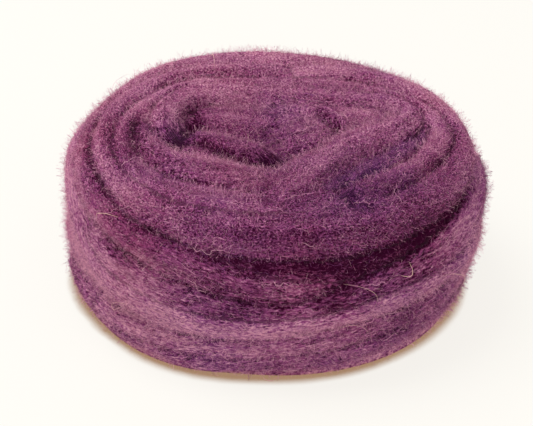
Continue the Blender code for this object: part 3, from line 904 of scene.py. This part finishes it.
def make_dye_and_shade_group():
    inputs = [("Place", "NodeSocketVector"), ("Painted shade", "NodeSocketFloat"), ("Tone", "NodeSocketFloat"),
              ("Hue", "NodeSocketFloat")]
    group, given, out = new_group("Roving dye and painted shade", inputs, [("Colour", "NodeSocketColor")])
    patch = cloud(group, given["Place"], PATCH_SCALE, 1.0)
    hue = maths(group, "MULTIPLY_ADD", patch, PATCH_HUE, given["Hue"])
    reddened = blended(group, maths(group, "MULTIPLY", hue, 1.0, clamp=True), DYE_MEAN, DYE_RED)
    hued = blended(group, maths(group, "MULTIPLY", hue, -1.0, clamp=True), reddened, DYE_BLUE)
    tone = maths(group, "SUBTRACT", maths(group, "SUBTRACT", given["Tone"], given["Painted shade"]), TONE_DROP)
    for scale, share in (MOTTLE, CLUMPS):
        tone = maths(group, "MULTIPLY_ADD", cloud(group, given["Place"], scale, 2.0), share, tone)
    lighter = blended(group, maths(group, "MULTIPLY", tone, 1.0, clamp=True), hued, PALE_DYE_AND_LIGHT)
    darkest = blended(group, maths(group, "MULTIPLY", hue, -1.0, clamp=True), DARK_DYE_AND_SHADE, BLUE_DARK_DYE_AND_SHADE)
    darker = blended(group, maths(group, "MULTIPLY", tone, -1.0, clamp=True), lighter, darkest)
    group.links.new(darker, out["Colour"])
    return group


dye_and_shade_group = make_dye_and_shade_group()
print(dye_and_shade_group.name, "group:", len(dye_and_shade_group.nodes), "nodes")

# %% Grain group
# A grain's noise: how its fibres lie, in degrees from the strand's run, and its cells in a millimetre.
Grain = namedtuple("Grain", "directions long wide")
TANGLED = Grain((-40.0, 0.0, 40.0), 1.6, 2.1)
COMBED = Grain((-9.0, 7.0), 0.75, 2.1)
STREAK = Grain((0.0,), 0.3, 1.6)
DASH = Grain((2.0,), 0.13, 0.85)
DASH_FROM = 0.15        # a dash is where its noise is above this
DASH_TANGLED = -0.7     # how much of the dashes goes where the fibres are tangled


def make_grain_group():
    """Specks where fibres cross, streaks along the strand, and the short dark dashes between its locks."""
    group, given, out = new_group(
        "Carded grain", [("Lay", "NodeSocketVector"), ("Tangle", "NodeSocketFloat")],
        [("Speck", "NodeSocketFloat"), ("Streak", "NodeSocketFloat"), ("Dash", "NodeSocketFloat")])
    parts = group.nodes.new("ShaderNodeSeparateXYZ")
    group.links.new(given["Lay"], parts.inputs[0])
    along, across, order = parts.outputs
    layer = maths(group, "MULTIPLY", order, 7.3)

    def noise_along(angle, long, wide):
        cosine, sine = math.cos(math.radians(angle)), math.sin(math.radians(angle))
        ahead = maths(group, "MULTIPLY", across, sine * long)
        ahead = maths(group, "MULTIPLY_ADD", along, cosine * long, ahead)
        aside = maths(group, "MULTIPLY", along, -sine * wide)
        aside = maths(group, "MULTIPLY_ADD", across, cosine * wide, aside)
        place = group.nodes.new("ShaderNodeCombineXYZ")
        for value, socket in zip((ahead, aside, layer), place.inputs):
            group.links.new(value, socket)
        return cloud(group, place.outputs[0], 1.0, 2.0, 0.6)

    def grain(kind):
        total = noise_along(kind.directions[0], kind.long, kind.wide)
        for angle in kind.directions[1:]:
            total = maths(group, "ADD", total, noise_along(angle, kind.long, kind.wide))
        return total

    tangled = maths(group, "MULTIPLY", grain(TANGLED), given["Tangle"])
    orderly = maths(group, "SUBTRACT", 1.0, given["Tangle"])
    group.links.new(maths(group, "MULTIPLY_ADD", grain(COMBED), orderly, tangled), out["Speck"])
    group.links.new(maths(group, "MULTIPLY", grain(STREAK), orderly), out["Streak"])
    dash = maths(group, "MAXIMUM", maths(group, "SUBTRACT", grain(DASH), DASH_FROM), 0.0)
    left = maths(group, "MULTIPLY_ADD", given["Tangle"], DASH_TANGLED, 1.0)
    group.links.new(maths(group, "MULTIPLY", dash, left), out["Dash"])
    return group


grain_group = make_grain_group()
print(grain_group.name, "group:", len(grain_group.nodes), "nodes")

# %% [markdown]
# ## Two wool materials
# Wool scatters a little light at grazing angles, where thousands of fibre ends stand up, so both
# materials have a slight sheen and almost no gloss. The skin takes its relief from the grain group
# through a Bump node. The fibres are real geometry, so they need none, and each has a tone of its own.

# %% Wool materials
WOOL_ROUGHNESS = 0.85
WOOL_SHEEN = 0.08
SHEEN_ROUGHNESS = 0.30
SHEEN_TINT = (1.0, 0.60, 0.78, 1.0)
WOOL_SPECULAR = 0.02
GRAIN_RELIEF = 0.30 * MM
RELIEF_STRENGTH = 0.8
SPECK_TONE = 1.15       # how much the grain's specks, streaks and dashes lighten or darken the wool
STREAK_TONE = 0.80
DASH_TONE = -1.6


def wool_shader(tree, output):
    shader = tree.nodes.new("ShaderNodeBsdfPrincipled")
    shader.inputs["Roughness"].default_value = WOOL_ROUGHNESS
    shader.inputs["Specular IOR Level"].default_value = WOOL_SPECULAR
    shader.inputs["Sheen Weight"].default_value = WOOL_SHEEN
    shader.inputs["Sheen Roughness"].default_value = SHEEN_ROUGHNESS
    shader.inputs["Sheen Tint"].default_value = SHEEN_TINT
    tree.links.new(shader.outputs[0], output.inputs["Surface"])
    return shader


def dyed_and_shaded(tree, painted_shade, tone, hue):
    """The dye group's colour, with its painted shade, for these values."""
    place = tree.nodes.new("ShaderNodeTexCoord")
    dye = placed_group(tree, dye_and_shade_group)
    tree.links.new(place.outputs["Object"], dye.inputs["Place"])
    for value, label in ((painted_shade, "Painted shade"), (tone, "Tone"), (hue, "Hue")):
        link(tree, value, dye.inputs[label])
    return dye.outputs["Colour"]


def skin_material():
    material, tree, output = node_tree_of("plum_wool_felted")
    shader = wool_shader(tree, output)
    grain = placed_group(tree, grain_group)
    tree.links.new(stored(tree, "lay", "Vector"), grain.inputs["Lay"])
    tree.links.new(stored(tree, "tangle"), grain.inputs["Tangle"])
    tone = stored(tree, "tone")
    for label, share in (("Speck", SPECK_TONE), ("Streak", STREAK_TONE), ("Dash", DASH_TONE)):
        tone = maths(tree, "MULTIPLY_ADD", grain.outputs[label], share, tone)
    wool = dyed_and_shaded(tree, stored(tree, "painted_shade"), tone, stored(tree, "hue"))
    tree.links.new(wool, shader.inputs["Base Color"])
    relief = tree.nodes.new("ShaderNodeBump")
    relief.inputs["Strength"].default_value = RELIEF_STRENGTH
    relief.inputs["Distance"].default_value = GRAIN_RELIEF
    tree.links.new(grain.outputs["Speck"], relief.inputs["Height"])
    tree.links.new(relief.outputs[0], shader.inputs["Normal"])
    return material


def fibre_material():
    material, tree, output = node_tree_of("plum_wool_fibre")
    shader = wool_shader(tree, output)
    wool = dyed_and_shaded(tree, stored(tree, "painted_shade"), stored(tree, "tone"), stored(tree, "hue"))
    tree.links.new(wool, shader.inputs["Base Color"])
    return material


def store_floats(mesh, name, values):
    layer = mesh.attributes.new(name, "FLOAT", "POINT")
    layer.data.foreach_set("value", np.ascontiguousarray(values, np.float32))


def store_vectors(mesh, name, values):
    layer = mesh.attributes.new(name, "FLOAT_VECTOR", "POINT")
    layer.data.foreach_set("vector", np.ascontiguousarray(values, np.float32).ravel())


for column, name in enumerate(("painted_shade", "tone", "hue")):
    store_floats(skin.data, name, skin_values[:, column])
store_floats(skin.data, "tangle", skin_tangle)
store_vectors(skin.data, "lay", np.column_stack([lay.along, lay.across, lay.order]))
skin.data.materials.clear()
skin.data.materials.append(skin_material())
wool_fibre = fibre_material()
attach(skin, "root")
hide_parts("roving_nest")
print("skin dressed in", skin.data.materials[0].name)

# %% [markdown]
# ## Walking a fibre over the skin
# A wool fibre in roving runs along the strand for some centimetres, sways with its crimp, and now and
# then rises out of it. So each fibre is walked step by step: from a seed point it heads the way the
# strand runs there, turned by its crimp and its own slant, and after each step it is set back on the
# skin. All fibres take a step together, as arrays, and a KD tree finds the skin's nearest point.

# %% Walk
from mathutils.kdtree import KDTree

# step: mm between points. slant and crimp: degrees. lift: the usual height of a fibre's arch in mm.
# loose: the share of fibres that rise further, and spread: how high, on average. width: mm.
# tone: how much lighter than the wool under it, which for the fuzz and the strays is painted light.
Fibres = namedtuple("Fibres", "count steps step slant crimp lift loose spread width tone")
CAP_SLANT = 1.3         # how much more the fibres are tangled on the cap than on the side
SCATTER = 0.3           # how far a fibre starts from its seed point, in mm
CRIMP_PITCH = (2.2, 4.5)    # the length of one wave of crimp, from least to most, in mm
CRIMP_SPREAD = (0.5, 1.4)   # a fibre's crimp as a share of its kind's, from least to most


def skin_tree(points):
    tree = KDTree(len(points))
    for index, point in enumerate(points):
        tree.insert(point, index)
    tree.balance()
    return tree


nearest_on = skin_tree(skin_points)
lay_after = lay_of(skin_points, skin_normals)


def nearest_points(places):
    return np.fromiter((nearest_on.find(place)[1] for place in places), np.int64, len(places))


def walk(kind, seeds, rng):
    """Each fibre's points on the skin, the skin's normals there, and the skin points they lie by."""
    count = len(seeds)
    near = seeds
    place = skin_points[near] + rng.normal(0.0, SCATTER, (count, 3))
    sense = rng.choice((-1.0, 1.0), count)
    heading = lay_after.runs[near] * sense[:, None]
    slant = np.radians(rng.normal(0.0, kind.slant, count)) * (1.0 + CAP_SLANT * skin_tangle[near])
    pitch = rng.uniform(*CRIMP_PITCH, count)
    phase = rng.uniform(0.0, 2 * math.pi, count)
    sway = np.radians(kind.crimp) * rng.uniform(*CRIMP_SPREAD, count)
    path, normals, nears = [], [], []
    for step in range(kind.steps):
        normal = skin_normals[near]
        place = place - normal * ((place - skin_points[near]) * normal).sum(1, keepdims=True)
        path.append(place)
        normals.append(normal)
        nears.append(near)
        run = lay_after.runs[near]
        heading = run * np.where((run * heading).sum(1) < 0.0, -1.0, 1.0)[:, None]
        turn = slant + sway * np.cos(2 * math.pi * step * kind.step / pitch + phase)
        side = np.cross(normal, heading)
        place = place + kind.step * (heading * np.cos(turn)[:, None] + side * np.sin(turn)[:, None])
        near = nearest_points(place)
    return np.stack(path, 1), np.stack(normals, 1), np.stack(nears, 1)


print("KD tree of", len(skin_points), "points")

# %% [markdown]
# ## Fibres as ribbons
# A fibre is thinner than a pixel, so a narrow ribbon that tapers to both ends does for it, and a piece
# holds thousands of them in one mesh. Each ribbon has its own small cell in the UV map, side by side
# like threads on a card, so a baked picture of their colours stays tidy.

# %% Ribbons
SUNK = 0.25             # how far a fibre's ends lie under the skin, in mm
LOWEST = 0.12           # no fibre goes nearer the table than this
EDGE_LOWEST = 0.02      # nor does its edge go nearer than this
HIGHEST = 2.8           # no fibre stands further off the skin than this
PEAKS = (0.3, 0.7)      # where along a fibre its arch is highest, from least to most
LOOSE_WIDTH = 0.8       # a loose fibre's width and roll, against the others'
LOOSE_ROLL = 3.0
ROLL = 0.6              # how far a ribbon is rolled about its run, and how far it twists along it
TWIST = 0.8
WIDTH_SPREAD = (0.6, 1.4)
FIBRE_TONE = 0.50       # how much the fibres differ in tone and in hue
FIBRE_HUE = 0.5
TIP_LIGHT = 0.60         # painted light: how much paler a fibre is for each millimetre that it stands off the skin
TIP_MOST = 1.5
Tuft = namedtuple("Tuft", "x y z reach rise")
TUFTS = (    # where the fuzz stands higher
    Tuft(-9.0, 60.0, 47.0, 5.0, 2.2), Tuft(62.0, 5.0, 45.0, 4.0, 1.5),
)
FREE_TIPS = 0.3         # the share of loose fibres whose far end stands free


def lifted(kind, path, normals, rng):
    """Raises each fibre off the skin in an arch, with its ends under it."""
    count, steps = path.shape[:2]
    loose = rng.random(count) < kind.loose
    height = np.where(loose, rng.exponential(kind.spread, count), kind.lift * rng.uniform(0.0, 2.0, count))
    for tuft in TUFTS:
        height = height * (1.0 + tuft.rise * nearness(path[:, 0], tuft))
    height = np.minimum(height, HIGHEST)
    along = np.linspace(0.0, 1.0, steps)
    peak = rng.uniform(*PEAKS, count)[:, None]
    peak[loose & (rng.random(count) < FREE_TIPS)] = 1.0
    arch = np.where(along <= peak, along / peak, (1.0 - along) / np.maximum(1.0 - peak, 1e-6))
    arch = np.sin(0.5 * math.pi * np.clip(arch, 0.0, 1.0))
    raised = path + normals * ((height[:, None] + SUNK) * arch - SUNK)[:, :, None]
    raised[:, :, 2] = np.maximum(raised[:, :, 2], LOWEST)
    return raised, loose


def ribbon_sides(points, normals, roll):
    ahead = unit(np.gradient(points, axis=1))
    flat = unit(np.cross(normals, ahead))
    upright = unit(np.cross(ahead, flat))
    return flat * np.cos(roll)[:, :, None] + upright * np.sin(roll)[:, :, None]


def ribbon_mesh(name, points, sides, widths):
    """One mesh of ribbons: two points a station, one four-sided face a step."""
    count, steps = points.shape[:2]
    half = (sides * widths[:, :, None]) / 2
    corners = np.stack([points - half, points + half], 2).reshape(-1, 3) * MM
    corners[:, 2] = np.maximum(corners[:, 2], EDGE_LOWEST * MM)
    first = (np.arange(count)[:, None] * steps + np.arange(steps - 1)[None, :]).ravel() * 2
    faces = np.stack([first, first + 1, first + 3, first + 2], 1)
    mesh = bpy.data.meshes.new(name)
    mesh.vertices.add(len(corners))
    mesh.vertices.foreach_set("co", corners.ravel())
    mesh.loops.add(faces.size)
    mesh.loops.foreach_set("vertex_index", faces.ravel())
    mesh.polygons.add(len(faces))
    mesh.polygons.foreach_set("loop_start", np.arange(len(faces)) * 4)
    mesh.update(calc_edges=True)
    add_card_map(mesh, count, steps)
    return mesh


def add_card_map(mesh, count, steps):
    """A UV map with one cell a ribbon, laid out in rows."""
    rows = math.ceil(math.sqrt(count * 3))
    columns = math.ceil(count / rows)
    ribbon = np.arange(count)
    left, low = (ribbon // rows) / columns, (ribbon % rows) / rows
    along = 0.05 + 0.9 * np.arange(steps) / (steps - 1)
    u = (left[:, None] + along[None, :] / columns)[:, :, None] + np.zeros(2)
    v = (low[:, None, None] + np.array((0.2, 0.8)) / rows) + np.zeros((1, steps, 1))
    spots = np.stack([u, v], 3).reshape(-1, 2)
    corner = np.empty(len(mesh.loops), np.int64)
    mesh.loops.foreach_get("vertex_index", corner)
    mesh.uv_layers.new(name="OFBake").data.foreach_set("uv", spots[corner].ravel())


def make_fibres(name, kind, seed, weights):
    rng = np.random.default_rng(seed)
    seeds = rng.choice(len(skin_points), kind.count, p=weights / weights.sum())
    path, normals, nears = walk(kind, seeds, rng)
    points, loose = lifted(kind, path, normals, rng)
    along = np.linspace(0.0, 1.0, kind.steps)
    roll = rng.normal(0.0, ROLL, kind.count)[:, None]
    roll = roll + along * rng.normal(0.0, TWIST, kind.count)[:, None]
    roll[loose] *= LOOSE_ROLL
    taper = np.minimum(1.0, 0.25 + 3.0 * np.sin(math.pi * along))
    widths = kind.width * rng.uniform(*WIDTH_SPREAD, kind.count)[:, None] * taper
    widths[loose] *= LOOSE_WIDTH
    mesh = ribbon_mesh(name, points, ribbon_sides(points, normals, roll), widths)
    values = skin_values[nears]
    height = ((points - path) * normals).sum(2)
    painted_shade = values[:, :, 0] * np.clip(1.0 - 0.5 * height, 0.3, 1.0)   # the skin's painted shade, less on a fibre that stands up into the light
    tone = values[:, :, 1] + rng.normal(kind.tone, FIBRE_TONE, kind.count)[:, None]
    tone += TIP_LIGHT * np.clip(height, 0.0, TIP_MOST)
    hue = values[:, :, 2] + rng.normal(0.0, FIBRE_HUE, kind.count)[:, None]
    for label, numbers in (("painted_shade", painted_shade), ("tone", tone), ("hue", hue)):
        store_floats(mesh, label, np.repeat(numbers, 2))
    mesh.materials.append(wool_fibre)
    piece = bpy.data.objects.new(name, mesh)
    bpy.context.scene.collection.objects.link(piece)
    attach(piece, "root")
    return piece


print("a ribbon sinks", SUNK, "mm at its ends")

# %% Lay the fibres
SHORT_FIBRES = Fibres(5500, 6, 0.5, 24.0, 35.0, 0.10, 0.08, 0.5, 0.10, 0.0)
LONG_FIBRES = Fibres(6000, 11, 0.8, 9.0, 25.0, 0.12, 0.10, 0.5, 0.09, 0.0)
FUZZ_FIBRES = Fibres(49000, 3, 1.0, 55.0, 35.0, 0.5, 0.8, 0.8, 0.090, 0.15)
PIECES = (     # a name, a kind and a seed
    ("short_fibres", SHORT_FIBRES, 11), ("long_fibres", LONG_FIBRES, 12), ("fuzz_1", FUZZ_FIBRES, 31),
    ("fuzz_2", FUZZ_FIBRES, 32), ("fuzz_3", FUZZ_FIBRES, 33),
)
HARDLY_ANY = 1e-6
GROOVE_CALM = 0.9       # how much fewer fibres start in a crease, read from its painted shade


def fibre_weights():
    """How readily a fibre starts at each point: hardly any do on the base, and few do in a crease."""
    exposed = np.clip((skin_points[:, 2] - 0.6) / 1.5, 0.0, 1.0) + HARDLY_ANY
    exposed[(skin_normals[:, 2] < -0.75) & (skin_points[:, 2] < 3.0)] = HARDLY_ANY
    return exposed * (1.0 - GROOVE_CALM * np.clip(skin_values[:, 0], 0.0, 1.0))


weights = fibre_weights()
for name, kind, seed in PIECES:
    piece = make_fibres(name, kind, seed, weights)
    print(piece.name, len(piece.data.polygons) * 2, "triangles")

# %% [markdown]
# ## Stray hairs
# A few coarse hairs lie loose on the wool, some of them pale because they took no dye. Each is a curve
# through three places, and two crossed ribbons make it show from any side. All round the nest there are
# longer strays too, which stand further off than most of the fuzz does.

# %% Single hairs
Hair = namedtuple("Hair", "start middle end width undyed")
HAIRS = (
    Hair((-23.1, 43.9, 52.0), (-21.0, 38.5, 56.5), (-20.5, 35.6, 52.5), 0.13, 0.9),
    Hair((-9.1, 2.3, 47.0), (-8.5, -8.0, 51.5), (-9.0, -13.0, 49.0), 0.10, 0.5),
    Hair((-50.2, -38.6, 39.5), (-49.0, -42.6, 43.8), (-43.6, -44.3, 43.6), 0.14, 1.0),
    Hair((35.2, -53.6, 33.3), (38.2, -55.0, 34.4), (37.3, -52.8, 37.2), 0.17, 0.9),
    Hair((19.1, -61.2, 34.6), (27.7, -63.0, 33.0), (27.2, -58.2, 24.1), 0.10, 0.6),
    Hair((47.6, -43.4, 27.2), (54.4, -41.0, 26.0), (54.3, -32.8, 16.0), 0.11, 0.8),
    Hair((-46.2, -43.3, 15.5), (-44.5, -49.0, 16.1), (-40.3, -49.6, 20.1), 0.10, 0.6),
    Hair((-45.5, -42.7, 11.0), (-44.3, -49.0, 18.4), (-37.3, -51.6, 17.8), 0.10, 0.6),
    Hair((17.6, -61.5, 19.7), (22.9, -63.0, 22.5), (27.1, -57.5, 16.7), 0.10, 0.5),
)
HAIR_STEPS = 16
HAIR_CRIMP = 0.12       # how far a hair sways from its curve, in mm
HAIR_UNDYED = (0.86, 0.62, 0.50, 1.0)
HAIR_TONE = 0.6         # the tone and hue of the part of a hair that took dye
HAIR_HUE = 0.2
HAIR_SEED = 5


def hair_points(hair, rng):
    """Points along a smooth curve through the hair's three places, with a little crimp."""
    start, middle, end = (np.array(place) for place in (hair.start, hair.middle, hair.end))
    pull = 2.0 * middle - 0.5 * (start + end)
    t = np.linspace(0.0, 1.0, HAIR_STEPS)[:, None]
    curve = (1 - t) ** 2 * start + 2 * t * (1 - t) * pull + t ** 2 * end
    sway = HAIR_CRIMP * np.sin(t * rng.uniform(12.0, 20.0) + rng.uniform(0.0, 6.0)) * np.sin(math.pi * t)
    return curve + sway * unit(rng.normal(size=(1, 3)))


def hair_material():
    """The wool's own dye, less of it where the hair took none."""
    material, tree, output = node_tree_of("plum_wool_stray")
    shader = wool_shader(tree, output)
    wool = dyed_and_shaded(tree, 0.0, HAIR_TONE, HAIR_HUE)
    tree.links.new(blended(tree, stored(tree, "undyed"), wool, HAIR_UNDYED), shader.inputs["Base Color"])
    return material


def make_hairs():
    rng = np.random.default_rng(HAIR_SEED)
    curves = np.repeat(np.stack([hair_points(hair, rng) for hair in HAIRS]), 2, axis=0)
    roll = np.tile((0.0, 0.5 * math.pi), len(HAIRS))[:, None] + np.zeros(HAIR_STEPS)
    outward = unit(curves * (1.0, 1.0, 0.5))
    taper = 0.4 + 0.6 * np.sin(math.pi * np.linspace(0.0, 1.0, HAIR_STEPS))
    widths = np.repeat([hair.width for hair in HAIRS], 2)[:, None] * taper
    mesh = ribbon_mesh("stray_hairs", curves, ribbon_sides(curves, outward, roll), widths)
    store_floats(mesh, "undyed", np.repeat([hair.undyed for hair in HAIRS], 4 * HAIR_STEPS))
    mesh.materials.append(hair_material())
    hairs = bpy.data.objects.new("stray_hairs", mesh)
    bpy.context.scene.collection.objects.link(hairs)
    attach(hairs, "root")
    return hairs


hairs = make_hairs()
print(hairs.name, len(hairs.data.polygons) * 2, "triangles")

# %% Strays all round
STRAYS = Fibres(260, 14, 1.1, 25.0, 45.0, 0.3, 1.0, 1.3, 0.10, 0.7)
piece = make_fibres("strays", STRAYS, 41, weights)
print(piece.name, len(piece.data.polygons) * 2, "triangles")
